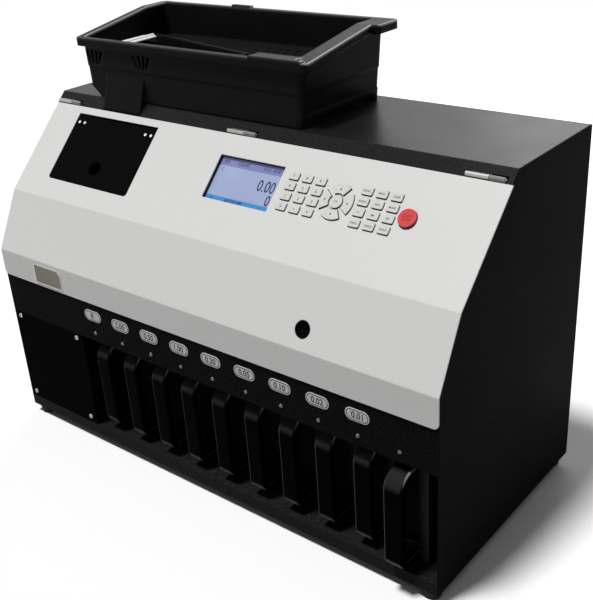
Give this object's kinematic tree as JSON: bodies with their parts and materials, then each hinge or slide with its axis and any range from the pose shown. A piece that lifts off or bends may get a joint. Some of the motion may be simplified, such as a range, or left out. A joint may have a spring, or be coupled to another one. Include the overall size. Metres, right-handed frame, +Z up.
{
  "type": "coin sorting machine",
  "caption": "Desktop coin sorter in sheet steel: hopper on top, sloping hinged cover with display and keypad, and a row of pull-out coin drawers.",
  "frame": {"origin": "middle of the footprint on the table, under the feet", "axes": "+X to the right seen from the front, +Y to the rear, +Z up"},
  "size_m": [0.664, 0.3218, 0.5218],
  "materials": {
    "black_powder_coat": "fine textured black powder coat",
    "white_powder_coat": "fine textured light grey powder coat",
    "black_sheet": "satin black paint",
    "plated_steel": "zinc plated",
    "black_rubber": "matt moulded rubber",
    "display_frame": "black display frame",
    "circuit_board": "green solder mask",
    "brushed_steel_deck": "brushed stainless",
    "black_moulding": "satin moulded",
    "motor_housing": "cast housing",
    "disc_plastic": "moulded nylon",
    "hopper_plastic": "satin moulded",
    "drawer_plastic": "glossy moulded",
    "key_rubber": "matt silicone",
    "red_key": "matt silicone"
  },
  "bodies": {
    "cabinet": {"base_plate": "black_powder_coat", "side_panels": "black_powder_coat", "rear_panel": "black_powder_coat", "top_panel": "black_powder_coat", "label_rail": "black_powder_coat", "service_cover": "black_powder_coat", "case_screws": "plated_steel", "rubber_feet": "black_rubber", "cover_hinges": "plated_steel", "sorting_deck": "brushed_steel_deck", "coin_chutes": "black_moulding", "feed_motor": "motor_housing", "power_unit": "black_moulding", "hopper_tray": "hopper_plastic"},
    "front_cover": {"front_cover": "white_powder_coat", "display_module": "display_frame", "control_board": "circuit_board"},
    "inspection_flap": {"inspection_flap": "black_sheet"},
    "feed_disc": {"feed_disc": "disc_plastic"},
    "power_switch": {"power_switch": "black_moulding"},
    "coin_drawer_01": {"coin_drawer_01": "drawer_plastic"},
    "coin_drawer_02": {"coin_drawer_02": "drawer_plastic"},
    "coin_drawer_03": {"coin_drawer_03": "drawer_plastic"},
    "coin_drawer_04": {"coin_drawer_04": "drawer_plastic"},
    "coin_drawer_05": {"coin_drawer_05": "drawer_plastic"},
    "coin_drawer_06": {"coin_drawer_06": "drawer_plastic"},
    "coin_drawer_07": {"coin_drawer_07": "drawer_plastic"},
    "coin_drawer_08": {"coin_drawer_08": "drawer_plastic"},
    "coin_drawer_09": {"coin_drawer_09": "drawer_plastic"},
    "coin_drawer_10": {"coin_drawer_10": "drawer_plastic"},
    "key_digit_7": {"key_digit_7": "key_rubber"},
    "key_function_01": {"key_function_01": "key_rubber"},
    "key_digit_8": {"key_digit_8": "key_rubber"},
    "key_function_02": {"key_function_02": "key_rubber"},
    "key_digit_9": {"key_digit_9": "key_rubber"},
    "key_function_03": {"key_function_03": "key_rubber"},
    "key_digit_4": {"key_digit_4": "key_rubber"},
    "key_function_04": {"key_function_04": "key_rubber"},
    "key_digit_5": {"key_digit_5": "key_rubber"},
    "key_function_05": {"key_function_05": "key_rubber"},
    "key_digit_6": {"key_digit_6": "key_rubber"},
    "key_function_06": {"key_function_06": "key_rubber"},
    "key_digit_1": {"key_digit_1": "key_rubber"},
    "key_function_07": {"key_function_07": "key_rubber"},
    "key_digit_2": {"key_digit_2": "key_rubber"},
    "key_function_08": {"key_function_08": "key_rubber"},
    "key_digit_3": {"key_digit_3": "key_rubber"},
    "key_function_09": {"key_function_09": "key_rubber"},
    "key_digit_0": {"key_digit_0": "key_rubber"},
    "key_function_10": {"key_function_10": "key_rubber"},
    "key_digit_point": {"key_digit_point": "key_rubber"},
    "key_function_11": {"key_function_11": "key_rubber"},
    "key_digit_enter": {"key_digit_enter": "key_rubber"},
    "key_function_12": {"key_function_12": "key_rubber"},
    "key_arrow_right": {"key_arrow_right": "key_rubber"},
    "key_arrow_up": {"key_arrow_up": "key_rubber"},
    "key_arrow_left": {"key_arrow_left": "key_rubber"},
    "key_arrow_down": {"key_arrow_down": "key_rubber"},
    "key_ok": {"key_ok": "key_rubber"},
    "key_stop": {"key_stop": "red_key"}
  },
  "joints": [
    {"name": "front_cover_hinge", "type": "hinge", "parent": "cabinet", "child": "front_cover", "pos_m": [0, -0.01477, 0.41782], "axis": [-1, 0, 0], "range_deg": [0, 85]},
    {"name": "inspection_flap_hinge", "type": "hinge", "parent": "front_cover", "child": "inspection_flap", "pos_m": [-0.20755, -0.02241, 0.40396], "axis": [-1, 0, 0], "range_deg": [0, 60]},
    {"name": "feed_disc_spin", "type": "hinge", "parent": "cabinet", "child": "feed_disc", "pos_m": [-0.215, 0.05513, 0.2375], "axis": [0, 0, 1], "continuous": true},
    {"name": "power_switch_rock", "type": "hinge", "parent": "cabinet", "child": "power_switch", "pos_m": [-0.24405, 0.15513, 0.117], "axis": [-1, 0, 0], "range_deg": [0, 16]},
    {"name": "coin_drawer_01_slide", "type": "slide", "parent": "cabinet", "child": "coin_drawer_01", "axis": [0, -1, 0], "range_m": [0, 0.2]},
    {"name": "coin_drawer_02_slide", "type": "slide", "parent": "cabinet", "child": "coin_drawer_02", "axis": [0, -1, 0], "range_m": [0, 0.2]},
    {"name": "coin_drawer_03_slide", "type": "slide", "parent": "cabinet", "child": "coin_drawer_03", "axis": [0, -1, 0], "range_m": [0, 0.2]},
    {"name": "coin_drawer_04_slide", "type": "slide", "parent": "cabinet", "child": "coin_drawer_04", "axis": [0, -1, 0], "range_m": [0, 0.2]},
    {"name": "coin_drawer_05_slide", "type": "slide", "parent": "cabinet", "child": "coin_drawer_05", "axis": [0, -1, 0], "range_m": [0, 0.2]},
    {"name": "coin_drawer_06_slide", "type": "slide", "parent": "cabinet", "child": "coin_drawer_06", "axis": [0, -1, 0], "range_m": [0, 0.2]},
    {"name": "coin_drawer_07_slide", "type": "slide", "parent": "cabinet", "child": "coin_drawer_07", "axis": [0, -1, 0], "range_m": [0, 0.2]},
    {"name": "coin_drawer_08_slide", "type": "slide", "parent": "cabinet", "child": "coin_drawer_08", "axis": [0, -1, 0], "range_m": [0, 0.2]},
    {"name": "coin_drawer_09_slide", "type": "slide", "parent": "cabinet", "child": "coin_drawer_09", "axis": [0, -1, 0], "range_m": [0, 0.2]},
    {"name": "coin_drawer_10_slide", "type": "slide", "parent": "cabinet", "child": "coin_drawer_10", "axis": [0, -1, 0], "range_m": [-0.019, 0.181]},
    {"name": "key_digit_7_press", "type": "slide", "parent": "front_cover", "child": "key_digit_7", "axis": [0, 0.7071, -0.7071], "range_m": [0, 0.001], "stiffness_N_per_m": 600, "springref_m": -0.0004},
    {"name": "key_function_01_press", "type": "slide", "parent": "front_cover", "child": "key_function_01", "axis": [0, 0.7071, -0.7071], "range_m": [0, 0.001], "stiffness_N_per_m": 600, "springref_m": -0.0004},
    {"name": "key_digit_8_press", "type": "slide", "parent": "front_cover", "child": "key_digit_8", "axis": [0, 0.7071, -0.7071], "range_m": [0, 0.001], "stiffness_N_per_m": 600, "springref_m": -0.0004},
    {"name": "key_function_02_press", "type": "slide", "parent": "front_cover", "child": "key_function_02", "axis": [0, 0.7071, -0.7071], "range_m": [0, 0.001], "stiffness_N_per_m": 600, "springref_m": -0.0004},
    {"name": "key_digit_9_press", "type": "slide", "parent": "front_cover", "child": "key_digit_9", "axis": [0, 0.7071, -0.7071], "range_m": [0, 0.001], "stiffness_N_per_m": 600, "springref_m": -0.0004},
    {"name": "key_function_03_press", "type": "slide", "parent": "front_cover", "child": "key_function_03", "axis": [0, 0.7071, -0.7071], "range_m": [0, 0.001], "stiffness_N_per_m": 600, "springref_m": -0.0004},
    {"name": "key_digit_4_press", "type": "slide", "parent": "front_cover", "child": "key_digit_4", "axis": [0, 0.7071, -0.7071], "range_m": [0, 0.001], "stiffness_N_per_m": 600, "springref_m": -0.0004},
    {"name": "key_function_04_press", "type": "slide", "parent": "front_cover", "child": "key_function_04", "axis": [0, 0.7071, -0.7071], "range_m": [0, 0.001], "stiffness_N_per_m": 600, "springref_m": -0.0004},
    {"name": "key_digit_5_press", "type": "slide", "parent": "front_cover", "child": "key_digit_5", "axis": [0, 0.7071, -0.7071], "range_m": [0, 0.001], "stiffness_N_per_m": 600, "springref_m": -0.0004},
    {"name": "key_function_05_press", "type": "slide", "parent": "front_cover", "child": "key_function_05", "axis": [0, 0.7071, -0.7071], "range_m": [0, 0.001], "stiffness_N_per_m": 600, "springref_m": -0.0004},
    {"name": "key_digit_6_press", "type": "slide", "parent": "front_cover", "child": "key_digit_6", "axis": [0, 0.7071, -0.7071], "range_m": [0, 0.001], "stiffness_N_per_m": 600, "springref_m": -0.0004},
    {"name": "key_function_06_press", "type": "slide", "parent": "front_cover", "child": "key_function_06", "axis": [0, 0.7071, -0.7071], "range_m": [0, 0.001], "stiffness_N_per_m": 600, "springref_m": -0.0004},
    {"name": "key_digit_1_press", "type": "slide", "parent": "front_cover", "child": "key_digit_1", "axis": [0, 0.7071, -0.7071], "range_m": [0, 0.001], "stiffness_N_per_m": 600, "springref_m": -0.0004},
    {"name": "key_function_07_press", "type": "slide", "parent": "front_cover", "child": "key_function_07", "axis": [0, 0.7071, -0.7071], "range_m": [0, 0.001], "stiffness_N_per_m": 600, "springref_m": -0.0004},
    {"name": "key_digit_2_press", "type": "slide", "parent": "front_cover", "child": "key_digit_2", "axis": [0, 0.7071, -0.7071], "range_m": [0, 0.001], "stiffness_N_per_m": 600, "springref_m": -0.0004},
    {"name": "key_function_08_press", "type": "slide", "parent": "front_cover", "child": "key_function_08", "axis": [0, 0.7071, -0.7071], "range_m": [0, 0.001], "stiffness_N_per_m": 600, "springref_m": -0.0004},
    {"name": "key_digit_3_press", "type": "slide", "parent": "front_cover", "child": "key_digit_3", "axis": [0, 0.7071, -0.7071], "range_m": [0, 0.001], "stiffness_N_per_m": 600, "springref_m": -0.0004},
    {"name": "key_function_09_press", "type": "slide", "parent": "front_cover", "child": "key_function_09", "axis": [0, 0.7071, -0.7071], "range_m": [0, 0.001], "stiffness_N_per_m": 600, "springref_m": -0.0004},
    {"name": "key_digit_0_press", "type": "slide", "parent": "front_cover", "child": "key_digit_0", "axis": [0, 0.7071, -0.7071], "range_m": [0, 0.001], "stiffness_N_per_m": 600, "springref_m": -0.0004},
    {"name": "key_function_10_press", "type": "slide", "parent": "front_cover", "child": "key_function_10", "axis": [0, 0.7071, -0.7071], "range_m": [0, 0.001], "stiffness_N_per_m": 600, "springref_m": -0.0004},
    {"name": "key_digit_point_press", "type": "slide", "parent": "front_cover", "child": "key_digit_point", "axis": [0, 0.7071, -0.7071], "range_m": [0, 0.001], "stiffness_N_per_m": 600, "springref_m": -0.0004},
    {"name": "key_function_11_press", "type": "slide", "parent": "front_cover", "child": "key_function_11", "axis": [0, 0.7071, -0.7071], "range_m": [0, 0.001], "stiffness_N_per_m": 600, "springref_m": -0.0004},
    {"name": "key_digit_enter_press", "type": "slide", "parent": "front_cover", "child": "key_digit_enter", "axis": [0, 0.7071, -0.7071], "range_m": [0, 0.001], "stiffness_N_per_m": 600, "springref_m": -0.0004},
    {"name": "key_function_12_press", "type": "slide", "parent": "front_cover", "child": "key_function_12", "axis": [0, 0.7071, -0.7071], "range_m": [0, 0.001], "stiffness_N_per_m": 600, "springref_m": -0.0004},
    {"name": "key_arrow_right_press", "type": "slide", "parent": "front_cover", "child": "key_arrow_right", "axis": [0, 0.7071, -0.7071], "range_m": [0, 0.001], "stiffness_N_per_m": 600, "springref_m": -0.0004},
    {"name": "key_arrow_up_press", "type": "slide", "parent": "front_cover", "child": "key_arrow_up", "axis": [0, 0.7071, -0.7071], "range_m": [0, 0.001], "stiffness_N_per_m": 600, "springref_m": -0.0004},
    {"name": "key_arrow_left_press", "type": "slide", "parent": "front_cover", "child": "key_arrow_left", "axis": [0, 0.7071, -0.7071], "range_m": [0, 0.001], "stiffness_N_per_m": 600, "springref_m": -0.0004},
    {"name": "key_arrow_down_press", "type": "slide", "parent": "front_cover", "child": "key_arrow_down", "axis": [0, 0.7071, -0.7071], "range_m": [0, 0.001], "stiffness_N_per_m": 600, "springref_m": -0.0004},
    {"name": "key_ok_press", "type": "slide", "parent": "front_cover", "child": "key_ok", "axis": [0, 0.7071, -0.7071], "range_m": [0, 0.001], "stiffness_N_per_m": 600, "springref_m": -0.0004},
    {"name": "key_stop_press", "type": "slide", "parent": "front_cover", "child": "key_stop", "axis": [0, 0.7071, -0.7071], "range_m": [0, 0.001], "stiffness_N_per_m": 600, "springref_m": -0.0004}
  ]
}
